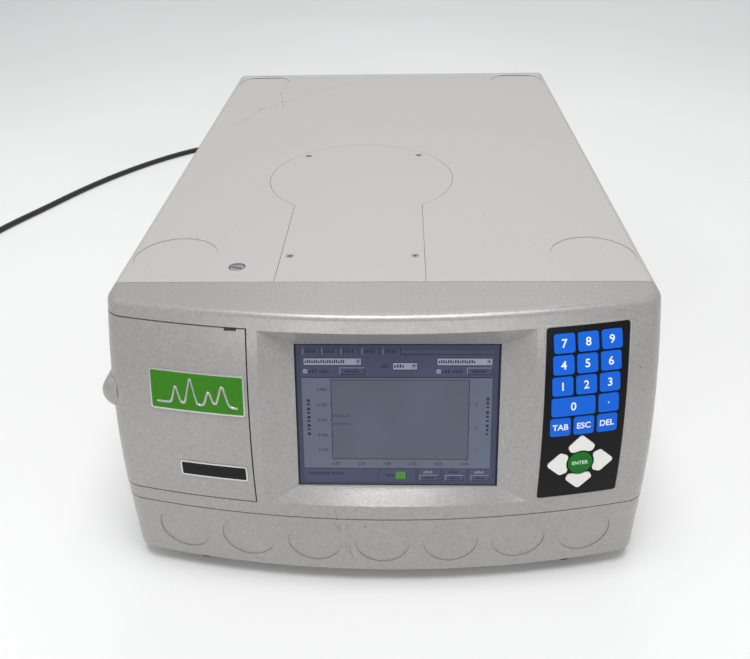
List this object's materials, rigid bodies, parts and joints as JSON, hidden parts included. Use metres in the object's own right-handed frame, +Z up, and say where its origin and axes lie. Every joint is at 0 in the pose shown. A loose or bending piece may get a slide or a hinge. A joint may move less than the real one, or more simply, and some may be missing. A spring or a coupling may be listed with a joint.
{
  "type": "hplc detector",
  "caption": "Bench light-scattering detector for liquid chromatography: long flat metal case, bowed front with tilted display and keypad, hinged fluid bay door",
  "frame": {"origin": "on the table, under the middle of the case", "axes": "+X to the right seen from the front, +Y to the back, +Z up"},
  "size_m": [0.8185, 0.9033, 0.2],
  "materials": {
    "cover_paint": "fine textured satin paint",
    "front_paint": "silver grey paint with fine speckle",
    "bare_sheet": "zinc plated sheet",
    "screw_steel": "satin",
    "black_metal": "black oxide",
    "black_plastic": "fine matt",
    "liner_plastic": "matt moulding",
    "green_enamel": "gloss dome with silver rim",
    "black_enamel": "gloss dome with silver rim",
    "screen_glass": "semi gloss display window",
    "module_metal": "pressed frame",
    "keypad_film": "semi matt film",
    "board_green": "solder mask with components",
    "key_blue": "satin film",
    "key_white": "satin film",
    "key_green": "satin film",
    "bench_aluminium": "machined",
    "black_anodised": "black anodised",
    "rubber": "matt",
    "silica": "polished",
    "capillary_steel": "drawn tube",
    "cord_pvc": "smooth black PVC"
  },
  "bodies": {
    "case": {"top_cover": "cover_paint", "access_panel": "cover_paint", "access_frame": "bare_sheet", "access_screws": "screw_steel", "cover_lock_screw": "black_metal", "front_bezel": "front_paint", "hinge_pin": "screw_steel", "bay_liner": "liner_plastic", "bulkhead_unions": "screw_steel", "display_window": "screen_glass", "display_module": "module_metal", "keypad_overlay": "keypad_film", "keypad_board": "board_green", "base_pan": "bare_sheet", "rear_panel": "cover_paint", "signal_connectors": "black_plastic", "power_inlet": "black_plastic", "fan_frame": "black_plastic", "optical_bench": "bench_aluminium", "bench_mounts": "rubber", "read_head": "black_anodised", "detector_modules": "bench_aluminium", "flow_cell": "silica", "cell_manifolds": "capillary_steel", "laser_module": "black_anodised", "forward_monitor": "black_anodised", "capillaries": "capillary_steel", "power_supply": "bare_sheet", "main_board": "board_green", "feet": "rubber", "mains_connector": "black_plastic", "mains_cord": "cord_pvc", "cord_coil": "cord_pvc", "mains_plug": "black_plastic"},
    "door": {"door": "front_paint", "tube_hood": "black_plastic", "door_catch": "black_plastic", "green_plate": "green_enamel", "black_plate": "black_enamel"},
    "rocker": {"power_rocker": "black_plastic"},
    "fan": {"fan_rotor": "black_plastic"},
    "key_7": {"key_7": "key_blue"},
    "key_8": {"key_8": "key_blue"},
    "key_9": {"key_9": "key_blue"},
    "key_4": {"key_4": "key_blue"},
    "key_5": {"key_5": "key_blue"},
    "key_6": {"key_6": "key_blue"},
    "key_1": {"key_1": "key_blue"},
    "key_2": {"key_2": "key_blue"},
    "key_3": {"key_3": "key_blue"},
    "key_0": {"key_0": "key_blue"},
    "key_point": {"key_point": "key_blue"},
    "key_tab": {"key_tab": "key_blue"},
    "key_esc": {"key_esc": "key_blue"},
    "key_del": {"key_del": "key_blue"},
    "key_enter": {"key_enter": "key_green"},
    "key_up": {"key_up": "key_white"},
    "key_left": {"key_left": "key_white"},
    "key_down": {"key_down": "key_white"},
    "key_right": {"key_right": "key_white"}
  },
  "joints": [
    {"name": "door_hinge", "type": "hinge", "parent": "case", "child": "door", "pos_m": [-0.176, -0.216, 0.1313], "axis": [0, 0, -1], "range_deg": [0, 90]},
    {"name": "power_switch", "type": "hinge", "parent": "case", "child": "rocker", "pos_m": [-0.083, 0.2826, 0.046], "axis": [1, 0, 0], "range_deg": [0, 14]},
    {"name": "fan_spin", "type": "hinge", "parent": "case", "child": "fan", "pos_m": [0.07, 0.27, 0.125], "axis": [0, 1, 0], "continuous": true},
    {"name": "key_7_press", "type": "slide", "parent": "case", "child": "key_7", "axis": [-0.1452, 0.8998, -0.4115], "range_m": [0, 0.0004], "stiffness_N_per_m": 600},
    {"name": "key_8_press", "type": "slide", "parent": "case", "child": "key_8", "axis": [-0.1645, 0.8964, -0.4115], "range_m": [0, 0.0004], "stiffness_N_per_m": 600},
    {"name": "key_9_press", "type": "slide", "parent": "case", "child": "key_9", "axis": [-0.1839, 0.8926, -0.4115], "range_m": [0, 0.0004], "stiffness_N_per_m": 600},
    {"name": "key_4_press", "type": "slide", "parent": "case", "child": "key_4", "axis": [-0.147, 0.9183, -0.3676], "range_m": [0, 0.0004], "stiffness_N_per_m": 600},
    {"name": "key_5_press", "type": "slide", "parent": "case", "child": "key_5", "axis": [-0.1666, 0.9149, -0.3676], "range_m": [0, 0.0004], "stiffness_N_per_m": 600},
    {"name": "key_6_press", "type": "slide", "parent": "case", "child": "key_6", "axis": [-0.1863, 0.9112, -0.3676], "range_m": [0, 0.0004], "stiffness_N_per_m": 600},
    {"name": "key_1_press", "type": "slide", "parent": "case", "child": "key_1", "axis": [-0.1486, 0.9347, -0.3227], "range_m": [0, 0.0004], "stiffness_N_per_m": 600},
    {"name": "key_2_press", "type": "slide", "parent": "case", "child": "key_2", "axis": [-0.1685, 0.9314, -0.3227], "range_m": [0, 0.0004], "stiffness_N_per_m": 600},
    {"name": "key_3_press", "type": "slide", "parent": "case", "child": "key_3", "axis": [-0.1883, 0.9276, -0.3227], "range_m": [0, 0.0004], "stiffness_N_per_m": 600},
    {"name": "key_0_press", "type": "slide", "parent": "case", "child": "key_0", "axis": [-0.16, 0.9474, -0.2772], "range_m": [0, 0.0004], "stiffness_N_per_m": 600},
    {"name": "key_point_press", "type": "slide", "parent": "case", "child": "key_point", "axis": [-0.1901, 0.9418, -0.2772], "range_m": [0, 0.0004], "stiffness_N_per_m": 600},
    {"name": "key_tab_press", "type": "slide", "parent": "case", "child": "key_tab", "axis": [-0.1512, 0.9611, -0.231], "range_m": [0, 0.0004], "stiffness_N_per_m": 600},
    {"name": "key_esc_press", "type": "slide", "parent": "case", "child": "key_esc", "axis": [-0.1714, 0.9577, -0.231], "range_m": [0, 0.0004], "stiffness_N_per_m": 600},
    {"name": "key_del_press", "type": "slide", "parent": "case", "child": "key_del", "axis": [-0.1916, 0.9539, -0.231], "range_m": [0, 0.0004], "stiffness_N_per_m": 600},
    {"name": "key_enter_press", "type": "slide", "parent": "case", "child": "key_enter", "axis": [-0.1733, 0.9753, -0.1372], "range_m": [0, 0.0004], "stiffness_N_per_m": 600},
    {"name": "key_up_press", "type": "slide", "parent": "case", "child": "key_up", "axis": [-0.1725, 0.9676, -0.1843], "range_m": [0, 0.0004], "stiffness_N_per_m": 600},
    {"name": "key_left_press", "type": "slide", "parent": "case", "child": "key_left", "axis": [-0.1529, 0.9787, -0.1372], "range_m": [0, 0.0004], "stiffness_N_per_m": 600},
    {"name": "key_down_press", "type": "slide", "parent": "case", "child": "key_down", "axis": [-0.1739, 0.9807, -0.0897], "range_m": [0, 0.0004], "stiffness_N_per_m": 600},
    {"name": "key_right_press", "type": "slide", "parent": "case", "child": "key_right", "axis": [-0.1937, 0.9714, -0.1372], "range_m": [0, 0.0004], "stiffness_N_per_m": 600}
  ]
}
